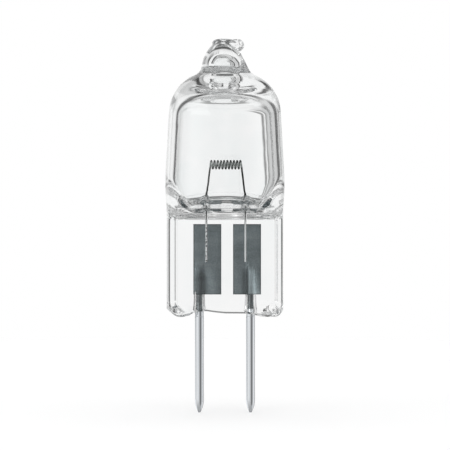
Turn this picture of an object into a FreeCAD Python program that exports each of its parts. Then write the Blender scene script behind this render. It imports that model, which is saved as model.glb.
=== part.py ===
import FreeCAD, Part
import math
import os
import Sketcher

# Halogen capsule bulb with two contact pins, in millimetres.
# Z runs up from the pins to the tip, X along the row of pins, and the front looks to -Y.
# The origin lies midway between the pins, on the plane where the quartz seal ends.

doc = FreeCAD.newDocument("capsule_bulb")
sheet = doc.addObject("Spreadsheet::Sheet", "sizes")

# Driving dimensions
DIMENSIONS = {
    "pin_spacing": (4.0, "between the axes of the contact pins"),
    "pin_diameter": (0.7, "contact pin where it is plated, below the base plane"),
    "pin_plating": (0.01, "thickness of the plating"),
    "pin_length": (7.5, "pin below the base plane"),
    "pin_nose": (0.95, "length of the rounded nose"),
    "pin_point": (0.2, "diameter of the nose's blunt end"),
    "pin_overlap": (1.8, "pin's inner end above the foil's lower edge"),
    "foil_width": (2.18, "foil across"),
    "foil_height": (5.5, "foil from edge to edge"),
    "foil_thickness": (0.03, "foil in its middle"),
    "foil_feather": (0.3, "width of the etched edge that thins to a point"),
    "foil_spacing": (3.1, "between the foils' centre lines"),
    "foil_shift": (0.18, "foil pair off the bulb's axis"),
    "foil_offset": (0.2, "foil plane in front of the pins' axes"),
    "foil_cover": (1.0, "quartz of the seal above the foils"),
    "foil_flare": (0.06, "how much the foil's bulge thickens to its foot, with the weld"),
    "wire_diameter": (0.14, "tungsten wire"),
    "coil_diameter": (0.61, "coil at the middle of its wire"),
    "coil_length": (2.4, "coil between its legs"),
    "coil_pitch": (0.252, "from turn to turn, before it is evened out"),
    "filament_rise": (3.36, "coil's axis above the cavity's floor"),
    "filament_shift": (0.07, "coil off the bulb's axis"),
    "lead_spacing": (3.04, "between the legs where they enter the quartz"),
    "lead_weld": (2.95, "leg's overlap on the foil"),
    "lead_flat": (0.015, "depth of the flat that the weld leaves on the leg"),
    "bulb_diameter": (9.36, "widest part of the bulb"),
    "barrel_taper": (0.3, "how much the radius narrows up to the dome"),
    "barrel_length": (5.57, "from the shoulder to the dome"),
    "dome_radius": (3.25, "curve of the dome, which leaves the barrel upright"),
    "neck_diameter": (4.1, "where the dome turns into the tip"),
    "neck_rise": (0.42, "height of the slope from the neck into the tip"),
    "tip_diameter": (3.6, "tip above its neck"),
    "tip_height": (2.76, "from the neck to the tip's top"),
    "tip_waist": (3.04, "diameter where the tip's flank grows flatter"),
    "tip_bend": (0.9, "height of that place above the neck's slope"),
    "tip_crown": (1.96, "diameter where the tip's flank meets its round top"),
    "crown_height": (0.47, "round top of the tip"),
    "curl_diameter": (1.06, "melted drop that curls over at the tip's right"),
    "curl_shift": (0.96, "drop off the bulb's axis"),
    "curl_fall": (0.54, "drop's middle below the tip's top"),
    "wall": (0.72, "quartz wall of the barrel"),
    "dome_wall": (1.55, "quartz over the cavity's flat top, under the neck"),
    "cavity_curve": (1.75, "rounded top of the cavity"),
    "bore_diameter": (1.76, "passage from the cavity into the tip"),
    "bore_reach": (1.35, "passage above the neck"),
    "bore_point": (0.45, "diameter of the passage's closed end"),
    "bore_close": (0.5, "height over which the passage closes"),
    "cavity_taper": (1.06, "how much the cavity's sides draw in down to its floor"),
    "floor_thickness": (0.25, "quartz between the seal and the cavity"),
    "floor_width": (0.7, "cavity's floor, front to back"),
    "seal_inset": (0.13, "how far the seal's sides stand in from the bulb's widest part"),
    "seal_height": (8.25, "pressed seal from the base plane to the shoulders"),
    "shoulder_height": (2.05, "from the seal to the barrel"),
    "press_climb": (0.75, "how far the press marks climb from the seal to the barrel, front and back"),
    "press_blend": (0.5, "hollow curve from the seal into the shoulders, along each"),
    "rail_thickness": (2.9, "side rails of the seal, front to back"),
    "rail_width": (0.75, "side rails of the seal, across"),
    "rail_bevel": (0.3, "softened outer edges of the press marks"),
    "web_thickness": (2.66, "flat middle of the seal"),
    "web_fade": (0.3, "height over which the flat middle runs out"),
    "foot_corner": (0.95, "width of the slanted corner of the seal's base"),
    "foot_rise": (0.65, "height of the slanted corner"),
    "foot_arch": (0.32, "rise of the base between the pins"),
    "foot_dip": (0.2, "how far the base bows down again midway"),
    "funnel_width": (0.28, "open ring round a pin at the base plane"),
    "funnel_height": (0.85, "ring's taper above the base plane"),
}
for row, (alias, (value, meaning)) in enumerate(DIMENSIONS.items(), 1):
    sheet.set(f"A{row}", meaning)
    sheet.set(f"B{row}", str(value))
    sheet.setAlias(f"B{row}", alias)
doc.recompute()

# Heights above the base plane and other sizes that follow from the driving ones
SEAL_TOP = "sizes.seal_height"
SHOULDER_TOP = f"({SEAL_TOP} + sizes.shoulder_height)"
DOME_FOOT = f"({SHOULDER_TOP} + sizes.barrel_length)"
BULB_RADIUS = "(sizes.bulb_diameter / 2)"
BARREL_RADIUS = f"({BULB_RADIUS} - sizes.barrel_taper)"
DOME_TURN = f"acos(1 - ({BARREL_RADIUS} - sizes.neck_diameter / 2) / sizes.dome_radius)"
NECK = f"({DOME_FOOT} + sizes.dome_radius * sin({DOME_TURN}))"
TIP_FOOT = f"({NECK} + sizes.neck_rise)"
TIP_TOP = f"({NECK} + sizes.tip_height)"
CROWN = f"({TIP_TOP} - sizes.crown_height)"
CROWN_CURVE = "((sizes.tip_crown^2 / 4 + sizes.crown_height^2) / (2 * sizes.crown_height))"
FLOOR = f"({SEAL_TOP} + sizes.floor_thickness)"
CAVITY_TOP = f"({NECK} - sizes.dome_wall)"
BORE_TOP = f"({NECK} + sizes.bore_reach)"
FOIL_TOP = f"({SEAL_TOP} - sizes.foil_cover)"
FOIL_FOOT = f"({FOIL_TOP} - sizes.foil_height)"
PIN_TOP = f"({FOIL_FOOT} + sizes.pin_overlap)"
SEAL_HALF = f"({BULB_RADIUS} - sizes.seal_inset)"
PIN_RADIUS = "(sizes.pin_diameter / 2)"
WIRE_RADIUS = f"({PIN_RADIUS} - sizes.pin_plating)"
FOIL_BACK = "(sizes.foil_thickness / 2 - sizes.foil_offset)"
JAW_FACE = "(sizes.rail_thickness / 2)"
PRESS_RUN = f"({BULB_RADIUS} - {JAW_FACE})"
PRESS_CLIMB = "sizes.press_climb"
PRESS_SLANT = f"sqrt({PRESS_RUN}^2 + {PRESS_CLIMB}^2)"
PRESS_CURVE = f"(sizes.press_blend * {PRESS_RUN} / ({PRESS_SLANT} - {PRESS_CLIMB}))"
WEB_TOP = f"({SEAL_TOP} - sizes.press_blend)"
SPARE = "1"  # how far a cut runs past what it cuts
TOUCH = 0.01  # a smaller distance than this counts as none
WIRE_SIDES = 8  # sides of the wire's section, which then departs 5 micrometres from a circle
TURN_STEPS = 10  # straight runs to one turn of the coil, which depart 15 micrometres from it
DOME_ARCS = 3  # arcs in a row that make the dome
CURVE_STEPS = 4  # straight runs to the cavity's rounded top, which depart 35 micrometres from it
BEND_STEPS = 6  # straight runs to the bend of one leg


def number(expression):
    """The value of a sheet expression, in millimetres."""
    result = sheet.evalExpression(expression)
    return float(getattr(result, "Value", result))


def plane(body, role):
    """One of the body's own origin planes or axes."""
    return next(f for f in body.Origin.OriginFeatures if f.Role == role)


def arc_side(start, end, radius, turn):
    """Arc from start to end, turning left where turn is 1 and right where it is -1."""
    chord = end - start
    rise = math.sqrt(radius**2 - chord.Length**2 / 4)
    left = FreeCAD.Vector(-chord.y, chord.x, 0).normalize()
    centre = (start + end) / 2 + left * rise * turn
    first, last = (start, end) if turn > 0 else (end, start)
    angles = [math.atan2(p.y - centre.y, p.x - centre.x) for p in (first, last)]
    circle = Part.Circle(centre, FreeCAD.Vector(0, 0, 1), radius)
    return Part.ArcOfCircle(circle, angles[0], angles[1])


def outline(body, name, role, *loops):
    """Sketch of closed loops on an origin plane of the body.

    A corner is a pair of sheet expressions. One with two more items, a radius and a turn,
    starts an arc that runs to the next corner.
    """
    sketch = body.newObject("Sketcher::SketchObject", name)
    sketch.AttachmentSupport = (plane(body, role), [""])
    sketch.MapMode = "FlatFace"
    bound = []
    for corners in loops:
        base = sketch.GeometryCount
        points = [FreeCAD.Vector(number(c[0]), number(c[1]), 0) for c in corners]
        ends = []
        for i, corner in enumerate(corners):
            start, end = points[i], points[(i + 1) % len(points)]
            if len(corner) == 2:
                sketch.addGeometry(Part.LineSegment(start, end))
                ends.append((1, 2))
            else:
                radius, turn = corner[2], corner[3]
                sketch.addGeometry(arc_side(start, end, number(radius), turn))
                ends.append((1, 2) if turn > 0 else (2, 1))
                place = sketch.addConstraint(Sketcher.Constraint("Radius", base + i, number(radius)))
                bound.append((place, radius))
        for i, corner in enumerate(corners):
            side, end = base + i, ends[i][0]
            before = base + (i - 1) % len(corners)
            sketch.addConstraint(Sketcher.Constraint("Coincident", before, ends[i - 1][1], side, end))
            for kind, expression, axis in (("DistanceX", corner[0], -2), ("DistanceY", corner[1], -1)):
                if expression == "0":
                    sketch.addConstraint(Sketcher.Constraint("PointOnObject", side, end, axis))
                else:
                    value = number(expression)
                    rule = Sketcher.Constraint(kind, -1, 1, side, end, value)
                    bound.append((sketch.addConstraint(rule), expression))
    for place, expression in bound:
        sketch.setExpression(f"Constraints[{place}]", expression)
    doc.recompute()
    return sketch


def turned(body, name, sketch, kind="PartDesign::Revolution"):
    """Revolves a sketch about its vertical axis."""
    feature = body.newObject(kind, name)
    feature.Profile = sketch
    feature.ReferenceAxis = (sketch, ["V_Axis"])
    feature.Angle = 360
    doc.recompute()
    return feature


def cut_through(body, name, sketch, width=None):
    """Cuts a sketch out of the body to both sides of its plane, over a width or right through."""
    feature = body.newObject("PartDesign::Pocket", name)
    feature.Profile = sketch
    feature.SideType = "Symmetric"
    if width is None:
        feature.Type = "ThroughAll"
    else:
        feature.Type = "Length"
        feature.setExpression("Length", width)
    doc.recompute()
    return feature


def new_body(name):
    body = doc.addObject("PartDesign::Body", name)
    body.Label = name
    return body


# Contact pins: round wire with a rounded nose below and a bare, plain end sealed in the quartz
def contact_pin(name, side):
    body = new_body(name)
    nose = "(sizes.pin_nose - sizes.pin_length)"
    point = "(sizes.pin_point / 2)"
    step = f"({PIN_RADIUS} - {point})"
    ogive = f"((sizes.pin_nose^2 + {step}^2) / (2 * {step}))"
    profile = outline(
        body,
        f"{name}_profile",
        "XZ_Plane",
        [
            ("0", "-sizes.pin_length"),
            (point, "-sizes.pin_length", ogive, 1),
            (PIN_RADIUS, nose),
            (PIN_RADIUS, "0"),
            (WIRE_RADIUS, "0"),
            (WIRE_RADIUS, PIN_TOP),
            ("0", PIN_TOP),
        ],
    )
    turned(body, f"{name}_wire", profile)
    body.setExpression("Placement.Base.x", f"{side} * sizes.pin_spacing / 2")
    return body


# Foils: thin sheets with etched edges, bulged over the inner ends of the pins
def seal_foil(name, side):
    body = new_body(name)
    middle = f"(sizes.foil_shift + {side} * sizes.foil_spacing / 2)"
    edge = "(sizes.foil_width / 2)"
    flat = f"({edge} - sizes.foil_feather)"
    front = "(-sizes.foil_offset - sizes.foil_thickness / 2)"
    section = outline(
        body,
        f"{name}_section",
        "XY_Plane",
        [
            (f"{middle} - {edge}", "-sizes.foil_offset"),
            (f"{middle} - {flat}", front),
            (f"{middle} + {flat}", front),
            (f"{middle} + {edge}", "-sizes.foil_offset"),
            (f"{middle} + {flat}", FOIL_BACK),
            (f"{middle} - {flat}", FOIL_BACK),
        ],
    )
    section.setExpression("AttachmentOffset.Base.z", FOIL_FOOT)
    sheet_pad = body.newObject("PartDesign::Pad", f"{name}_sheet")
    sheet_pad.Profile = section
    sheet_pad.setExpression("Length", "sizes.foil_height")
    doc.recompute()

    pin_axis = f"{side} * sizes.pin_spacing / 2"
    cover = f"({WIRE_RADIUS} + sizes.foil_thickness)"
    bulge = outline(
        body,
        f"{name}_bulge_profile",
        "XZ_Plane",
        [
            ("0", FOIL_FOOT),
            (f"{cover} + sizes.foil_flare", FOIL_FOOT),
            (cover, f"{PIN_TOP} + sizes.foil_thickness"),
            ("0", f"{PIN_TOP} + sizes.foil_thickness"),
        ],
    )
    bulge.setExpression("AttachmentOffset.Base.x", pin_axis)
    turned(body, f"{name}_bulge", bulge)

    reach = f"(sizes.pin_spacing + {cover} + sizes.foil_flare)"
    behind = outline(
        body,
        f"{name}_behind",
        "XY_Plane",
        [
            (f"-{reach}", FOIL_BACK),
            (reach, FOIL_BACK),
            (reach, f"{cover} + {SPARE}"),
            (f"-{reach}", f"{cover} + {SPARE}"),
        ],
    )
    cut_through(body, f"{name}_back", behind)

    seat = outline(
        body,
        f"{name}_seat_profile",
        "XZ_Plane",
        [
            ("0", f"{FOIL_FOOT} - {SPARE}"),
            (WIRE_RADIUS, f"{FOIL_FOOT} - {SPARE}"),
            (WIRE_RADIUS, PIN_TOP),
            ("0", PIN_TOP),
        ],
    )
    seat.setExpression("AttachmentOffset.Base.x", pin_axis)
    turned(body, f"{name}_seat", seat, "PartDesign::Groove")
    return body


# Filament: one tungsten wire, wound into a coil whose two legs run down to the foils
def filament_wire(name):
    radius = number("sizes.coil_diameter / 2")
    length = number("sizes.coil_length")
    half_wire = number("sizes.wire_diameter / 2")
    height = number(f"{FLOOR} + sizes.filament_rise")
    centre = number("sizes.filament_shift")
    lead_plane = number("-sizes.foil_offset - sizes.foil_thickness / 2 + sizes.lead_flat") - half_wire
    coil_plane = lead_plane + radius
    turns = round(length / number("sizes.coil_pitch") - 0.5) + 0.5
    slope = length / turns / (2 * math.pi)
    floor = number(FLOOR)
    lead_foot = number(f"{FOIL_TOP} - sizes.lead_weld")

    def section(point, along, first):
        """The wire's outline across its run; the middle of one side looks to first."""
        across = along.cross(first).normalize()
        corners = []
        for i in range(WIRE_SIDES + 1):
            angle = (i + 0.5) * 2 * math.pi / WIRE_SIDES
            corners.append(point + (first * math.cos(angle) + across * math.sin(angle)) * half_wire)
        return Part.makePolygon(corners)

    def leg(side):
        """Points and directions of a leg, from below the coil's end to its foot on the foil."""
        top = FreeCAD.Vector(centre + side * length / 2, coil_plane - side * radius, height)
        entry = FreeCAD.Vector(centre + side * number("sizes.lead_spacing / 2"), lead_plane, floor)
        away = FreeCAD.Vector(side * slope, 0, -radius).normalize()
        pull = (entry - top).Length / 3
        bend = Part.BezierCurve()
        bend.setPoles([top, top + away * pull, entry + FreeCAD.Vector(0, 0, pull), entry])
        steps = [i / BEND_STEPS for i in range(1, BEND_STEPS + 1)]
        run = [(bend.value(t), bend.tangent(t)[0]) for t in steps]
        return run + [(FreeCAD.Vector(entry.x, entry.y, lead_foot), FreeCAD.Vector(0, 0, -1))]

    # The coil starts at the back on the left, climbs over the top and ends at the front on the right.
    back = FreeCAD.Vector(0, 1, 0)
    sections = [section(point, -along, back) for point, along in reversed(leg(-1))]
    steps = round(turns * TURN_STEPS)
    for i in range(steps + 1):
        angle = 2 * math.pi * turns * i / steps
        outward = FreeCAD.Vector(0, math.cos(angle), math.sin(angle))
        middle = FreeCAD.Vector(centre + length * (i / steps - 0.5), coil_plane, height)
        along = FreeCAD.Vector(slope, -radius * math.sin(angle), radius * math.cos(angle))
        sections.append(section(middle + outward * radius, along, outward))
    sections += [section(point, along, -back) for point, along in leg(1)]
    feature = doc.addObject("Part::Feature", name)
    feature.Shape = Part.makeLoft(sections, True, True)
    return feature


# Quartz outside: blown and tipped-off bulb, then the marks of the press
def rail_edges(shape):
    """Names of the edges where the press marks meet the round quartz."""
    names = []
    for i, edge in enumerate(shape.Edges, 1):
        if edge.BoundBox.ZLength < TOUCH or edge.BoundBox.ZMax > number(NECK):
            continue
        point = edge.valueAt((edge.FirstParameter + edge.LastParameter) / 2)
        outside = math.hypot(point.x, point.y) > number(SEAL_HALF) - TOUCH
        if outside and abs(point.y) > number(JAW_FACE) - TOUCH:
            names.append(f"Edge{i}")
    return names


def quartz_outside(name):
    body = new_body(name)
    dome = []
    for i in range(DOME_ARCS):
        turn = f"({i} / {DOME_ARCS} * {DOME_TURN})"
        across = f"{BARREL_RADIUS} - sizes.dome_radius * (1 - cos({turn}))"
        dome.append((across, f"{DOME_FOOT} + sizes.dome_radius * sin({turn})", "sizes.dome_radius", 1))
    profile = outline(
        body,
        "bulb_profile",
        "XZ_Plane",
        [
            ("0", f"-{SPARE}"),
            (SEAL_HALF, f"-{SPARE}"),
            (SEAL_HALF, SEAL_TOP),
            (BULB_RADIUS, SHOULDER_TOP),
            *dome,
            ("sizes.neck_diameter / 2", NECK),
            ("sizes.tip_diameter / 2", TIP_FOOT),
            ("sizes.tip_waist / 2", f"{TIP_FOOT} + sizes.tip_bend"),
            ("sizes.tip_crown / 2", CROWN, CROWN_CURVE, 1),
            ("0", TIP_TOP),
        ],
    )
    turned(body, "blown_bulb", profile)

    curl = body.newObject("PartDesign::AdditiveSphere", "melted_curl")
    curl.setExpression("Radius", "sizes.curl_diameter / 2")
    curl.AttachmentSupport = (plane(body, "XY_Plane"), [""])
    curl.MapMode = "FlatFace"
    curl.setExpression("AttachmentOffset.Base.x", "sizes.curl_shift")
    curl.setExpression("AttachmentOffset.Base.z", f"{TIP_TOP} - sizes.curl_fall")
    doc.recompute()

    jaws = []
    webs = []
    for side, turn in (("1", -1), ("-1", 1)):
        jaws.append(
            [
                (f"{side} * {JAW_FACE}", f"-2 * {SPARE}"),
                (f"{side} * {JAW_FACE}", WEB_TOP, PRESS_CURVE, turn),
                (
                    f"{side} * ({JAW_FACE} + sizes.press_blend * {PRESS_RUN} / {PRESS_SLANT})",
                    f"{SEAL_TOP} + sizes.press_blend * {PRESS_CLIMB} / {PRESS_SLANT}",
                ),
                (f"{side} * ({JAW_FACE} + 2 * {PRESS_RUN})", f"{SEAL_TOP} + 2 * {PRESS_CLIMB}"),
                (f"{side} * ({JAW_FACE} + 2 * {PRESS_RUN})", f"-2 * {SPARE}"),
            ]
        )
        web_face = f"{side} * sizes.web_thickness / 2"
        webs.append(
            [
                (web_face, f"-2 * {SPARE}"),
                (web_face, f"{WEB_TOP} - sizes.web_fade"),
                (f"{side} * {JAW_FACE}", WEB_TOP),
                (f"{side} * {BULB_RADIUS}", WEB_TOP),
                (f"{side} * {BULB_RADIUS}", f"-2 * {SPARE}"),
            ]
        )
    cut_through(body, "press_jaws", outline(body, "jaw_profile", "YZ_Plane", *jaws))
    web_width = f"2 * ({SEAL_HALF} - sizes.rail_width)"
    cut_through(body, "flat_web", outline(body, "web_profile", "YZ_Plane", *webs), web_width)

    corner = f"({SEAL_HALF} - sizes.foot_corner)"
    outer = "(sizes.pin_spacing / 2 + sizes.pin_diameter / 2)"
    inner = "(sizes.pin_spacing / 2 - sizes.pin_diameter / 2)"
    bow = f"(({inner}^2 + sizes.foot_dip^2) / (2 * sizes.foot_dip))"
    beyond = f"({SEAL_HALF} + {SPARE})"
    foot = outline(
        body,
        "foot_profile",
        "XZ_Plane",
        [
            (f"-{beyond}", f"-2 * {SPARE}"),
            (beyond, f"-2 * {SPARE}"),
            (beyond, "sizes.foot_rise"),
            (SEAL_HALF, "sizes.foot_rise"),
            (corner, "0"),
            (outer, "sizes.foot_arch"),
            (inner, "sizes.foot_arch + sizes.foot_dip", bow, -1),
            (f"-{inner}", "sizes.foot_arch + sizes.foot_dip"),
            (f"-{outer}", "sizes.foot_arch"),
            (f"-{corner}", "0"),
            (f"-{SEAL_HALF}", "sizes.foot_rise"),
            (f"-{beyond}", "sizes.foot_rise"),
        ],
    )
    pressed = cut_through(body, "seal_foot", foot)

    bevel = body.newObject("PartDesign::Chamfer", "rail_bevel")
    bevel.Base = (pressed, rail_edges(pressed.Shape))
    bevel.setExpression("Size", "sizes.rail_bevel")
    doc.recompute()
    return body


# Quartz cavity: a round chamber that the press has closed to a shallow trough at its floor
def quartz_cavity(name):
    body = new_body(name)
    inside = f"({BULB_RADIUS} - sizes.wall)"
    upper = f"({BARREL_RADIUS} - sizes.wall)"
    bore = "(sizes.bore_diameter / 2)"
    top = []
    for i in range(CURVE_STEPS + 1):
        turn = 90 * i / CURVE_STEPS
        across = f"{upper} - sizes.cavity_curve * (1 - cos({turn}))"
        top.append((across, f"{CAVITY_TOP} - sizes.cavity_curve * (1 - sin({turn}))"))
    profile = outline(
        body,
        "cavity_profile",
        "XZ_Plane",
        [
            ("0", FLOOR),
            (inside, FLOOR),
            (inside, SHOULDER_TOP),
            *top,
            (bore, CAVITY_TOP),
            (bore, f"{BORE_TOP} - sizes.bore_close"),
            ("sizes.bore_point / 2", BORE_TOP),
            ("0", BORE_TOP),
        ],
    )
    turned(body, "blown_chamber", profile)

    half_floor = "(sizes.floor_width / 2)"
    flanks = []
    troughs = []
    for side in ("1", "-1"):
        flanks.append(
            [
                (f"{side} * ({inside} - sizes.cavity_taper)", f"{FLOOR} - {SPARE}"),
                (f"{side} * ({inside} - sizes.cavity_taper)", FLOOR),
                (f"{side} * {inside}", SHOULDER_TOP),
                (f"{side} * ({inside} + {SPARE})", SHOULDER_TOP),
                (f"{side} * ({inside} + {SPARE})", f"{FLOOR} - {SPARE}"),
            ]
        )
        troughs.append(
            [
                (f"{side} * {half_floor}", f"{FLOOR} - {SPARE}"),
                (f"{side} * {half_floor}", FLOOR),
                (f"{side} * ({half_floor} + 2 * {PRESS_RUN})", f"{FLOOR} + 2 * {PRESS_CLIMB}"),
                (f"{side} * ({half_floor} + 2 * {PRESS_RUN})", f"{FLOOR} - {SPARE}"),
            ]
        )
    cut_through(body, "flanks", outline(body, "flank_profile", "XZ_Plane", *flanks))
    cut_through(body, "trough", outline(body, "trough_profile", "YZ_Plane", *troughs))
    return body


# Assembly: the leg's weld flats take the foils' faces, and the quartz closes round all the metal
def cut_away(name, base, tools):
    """What is left of base after the tools are cut from it, one after the other."""
    for i, tool in enumerate(tools, 1):
        cut = doc.addObject("Part::Cut", f"{name}_{i}")
        cut.Base = base
        cut.Tool = tool
        doc.recompute()
        base = cut
    base.Label = name
    return base


def pin_funnel(name, side):
    """Open ring that the quartz leaves round a pin where it comes out."""
    funnel = doc.addObject("Part::Cone", name)
    slant = "sizes.funnel_width / sizes.funnel_height"
    funnel.setExpression("Radius1", f"{WIRE_RADIUS} + sizes.funnel_width + {SPARE} * {slant}")
    funnel.setExpression("Radius2", WIRE_RADIUS)
    funnel.setExpression("Height", f"sizes.funnel_height + {SPARE}")
    funnel.setExpression("Placement.Base.x", f"{side} * sizes.pin_spacing / 2")
    funnel.setExpression("Placement.Base.z", f"-{SPARE}")
    return funnel


pins = [contact_pin("pin_left", -1), contact_pin("pin_right", 1)]
foils = [seal_foil("foil_left", -1), seal_foil("foil_right", 1)]
funnels = [pin_funnel("funnel_left", -1), pin_funnel("funnel_right", 1)]
filament = cut_away("filament", filament_wire("filament_wire"), foils)
blank = quartz_outside("quartz_outside")
cavity = quartz_cavity("quartz_cavity")
quartz = cut_away("quartz_envelope", blank, [cavity] + funnels + pins + foils + [filament])
doc.recompute()

pieces = [quartz, filament] + foils + pins
failed = [o.Name for o in doc.Objects if "Invalid" in o.State or "Error" in o.State]
failed += [o.Label for o in pieces if o.Shape.isNull() or not o.Shape.isValid()]
if failed:
    raise RuntimeError("not built: " + ", ".join(failed))
os.makedirs("parts", exist_ok=True)
for piece in pieces:
    piece.Shape.exportStep(f"parts/{piece.Label}.step")
    print(piece.Label, len(piece.Shape.Solids), round(piece.Shape.Volume, 4))
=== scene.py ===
import math

import bmesh
import bpy
import numpy as np
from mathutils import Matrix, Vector


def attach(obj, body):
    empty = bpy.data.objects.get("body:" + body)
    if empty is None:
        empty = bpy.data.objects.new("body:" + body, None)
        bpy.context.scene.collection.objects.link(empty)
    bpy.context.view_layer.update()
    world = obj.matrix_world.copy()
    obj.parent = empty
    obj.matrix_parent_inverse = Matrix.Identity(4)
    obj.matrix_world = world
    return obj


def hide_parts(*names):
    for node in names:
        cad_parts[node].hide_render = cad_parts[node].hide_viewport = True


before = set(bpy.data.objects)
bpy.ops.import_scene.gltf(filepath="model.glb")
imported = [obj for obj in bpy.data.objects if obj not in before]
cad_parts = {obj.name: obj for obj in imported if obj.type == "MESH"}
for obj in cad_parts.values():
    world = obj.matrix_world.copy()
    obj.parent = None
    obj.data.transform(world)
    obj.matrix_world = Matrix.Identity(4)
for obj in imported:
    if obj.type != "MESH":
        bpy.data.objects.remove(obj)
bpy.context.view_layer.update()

# Contact pins
# Two lengths of drawn molybdenum wire with ground bullet noses, plated where they stand out of the seal.
# Their bare inner ends lie in the quartz behind the foils. Lengths, here and below, are in millimetres.
MM = 0.001
pin_x = 2.0
pin_radius = 0.35
wire_radius = 0.34
pin_foot = -7.5
pin_top = 3.55
nose_length = 0.95
point_radius = 0.1
blunting = 0.03
pin_sides = 64


def linear(code):
    """An sRGB hex colour as linear red, green, blue and alpha."""
    parts = [int(code[i : i + 2], 16) / 255 for i in (0, 2, 4)]
    return [p / 12.92 if p <= 0.04045 else ((p + 0.055) / 1.055) ** 2.4 for p in parts] + [1.0]


def node(tree, kind, inputs=(), stops=(), **settings):
    """Adds a node with its settings and a ramp's stops; an input takes a value or, from a socket, a link."""
    made = tree.nodes.new(kind)
    for name, value in settings.items():
        setattr(made, name, value)
    for socket, value in dict(inputs).items():
        if isinstance(value, bpy.types.NodeSocket):
            tree.links.new(value, made.inputs[socket])
        else:
            made.inputs[socket].default_value = value
    for count, (position, colour) in enumerate(stops):
        elements = made.color_ramp.elements
        if count == len(elements):
            elements.new(1.0)
        elements[count].position = position
        elements[count].color = colour
    return made


def material(name):
    """A new node material with its tree and its shader."""
    made = bpy.data.materials.new(name)
    made.use_nodes = True
    return made, made.node_tree, made.node_tree.nodes["Principled BSDF"]


# Plated molybdenum wire: a bright, cool metal with draw lines along it, sharp enough to mirror dark stripes.
# Inside the quartz, above the plating's edge, it is bare and drawn a dull, darker grey. Real draw lines are
# too fine to show, so these are drawn 0.1 mm wide.
plating_top = 0.62
plating_edge = 0.06
draw_width = 0.1
draw_length = 5.0
draw_depth = 0.01
plated, tree, shader = material("plated_molybdenum_wire")
place = node(tree, "ShaderNodeTexCoord").outputs["Object"]
lengthwise = node(
    tree,
    "ShaderNodeMapping",
    {"Vector": place, "Scale": (1 / draw_width / MM, 1 / draw_width / MM, 1 / draw_length / MM)},
)
draw_lines = node(
    tree,
    "ShaderNodeTexNoise",
    {"Vector": lengthwise.outputs[0], "Scale": 1.0, "Detail": 4.0, "Roughness": 0.6},
).outputs["Fac"]
bright = node(
    tree, "ShaderNodeValToRGB", {"Fac": draw_lines}, stops=[(0.3, linear("E2E6EA")), (0.7, linear("F4F7FA"))]
)
dull = node(
    tree, "ShaderNodeValToRGB", {"Fac": draw_lines}, stops=[(0.3, linear("5E6466")), (0.7, linear("8C9294"))]
)
height = node(tree, "ShaderNodeSeparateXYZ", {0: place}).outputs["Z"]
bare = node(
    tree,
    "ShaderNodeMapRange",
    {"Value": height, "From Min": plating_top * MM, "From Max": (plating_top + plating_edge) * MM},
).outputs["Result"]
tone = node(
    tree,
    "ShaderNodeMix",
    {"Factor": bare, "A": bright.outputs["Color"], "B": dull.outputs["Color"]},
    data_type="RGBA",
)
polish = node(tree, "ShaderNodeMapRange", {"Value": draw_lines, "To Min": 0.06, "To Max": 0.13})
sheen = node(tree, "ShaderNodeMapRange", {"Value": bare, "To Min": polish.outputs["Result"], "To Max": 0.3})
scratch = node(tree, "ShaderNodeBump", {"Height": draw_lines, "Strength": 0.06, "Distance": draw_depth * MM})
tree.links.new(tone.outputs["Result"], shader.inputs["Base Color"])
tree.links.new(sheen.outputs["Result"], shader.inputs["Roughness"])
tree.links.new(scratch.outputs["Normal"], shader.inputs["Normal"])
shader.inputs["Metallic"].default_value = 1.0


def strips(rows, columns, closed, first=0, flip=False):
    """Quads between neighbouring rows of points; closed rows join their ends."""
    k = np.arange(rows - 1)[:, None] * columns
    j = np.arange(columns if closed else columns - 1)[None, :]
    n = (j + 1) % columns
    quads = np.stack([k + j, k + n, k + columns + n, k + columns + j], -1).reshape(-1, 4) + first
    return (quads[:, ::-1] if flip else quads).tolist()


def turned(x, y, profile, sides, first=0, flip=False):
    """Points and faces of a shape turned about an upright axis; flip makes it a hole in a body."""
    turn = np.arange(sides) * 2 * math.pi / sides
    points = [(x, y, profile[0][1])]
    for r, z in profile:
        points += [(x + r * math.cos(t), y + r * math.sin(t), z) for t in turn]
    points.append((x, y, profile[-1][1]))
    faces = strips(len(profile), sides, True, first + 1, flip)
    last = first + len(points) - 1
    for j in range(sides):
        n = (j + 1) % sides
        a, b = (j, n) if flip else (n, j)
        faces.append([first, first + 1 + a, first + 1 + b])
        faces.append([last, last - sides + b, last - sides + a])
    return points, faces


def piece(name, points, faces, look, cad_node):
    """A smooth mesh that stands for a CAD node."""
    mesh = bpy.data.meshes.new(name)
    mesh.from_pydata((np.asarray(points) * MM).tolist(), [], faces)
    mesh.validate()
    made = bpy.data.objects.new(name, mesh)
    bpy.context.scene.collection.objects.link(made)
    mesh.materials.append(look)
    mesh.shade_smooth()
    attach(made, "root")
    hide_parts(cad_node)
    return made


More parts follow.
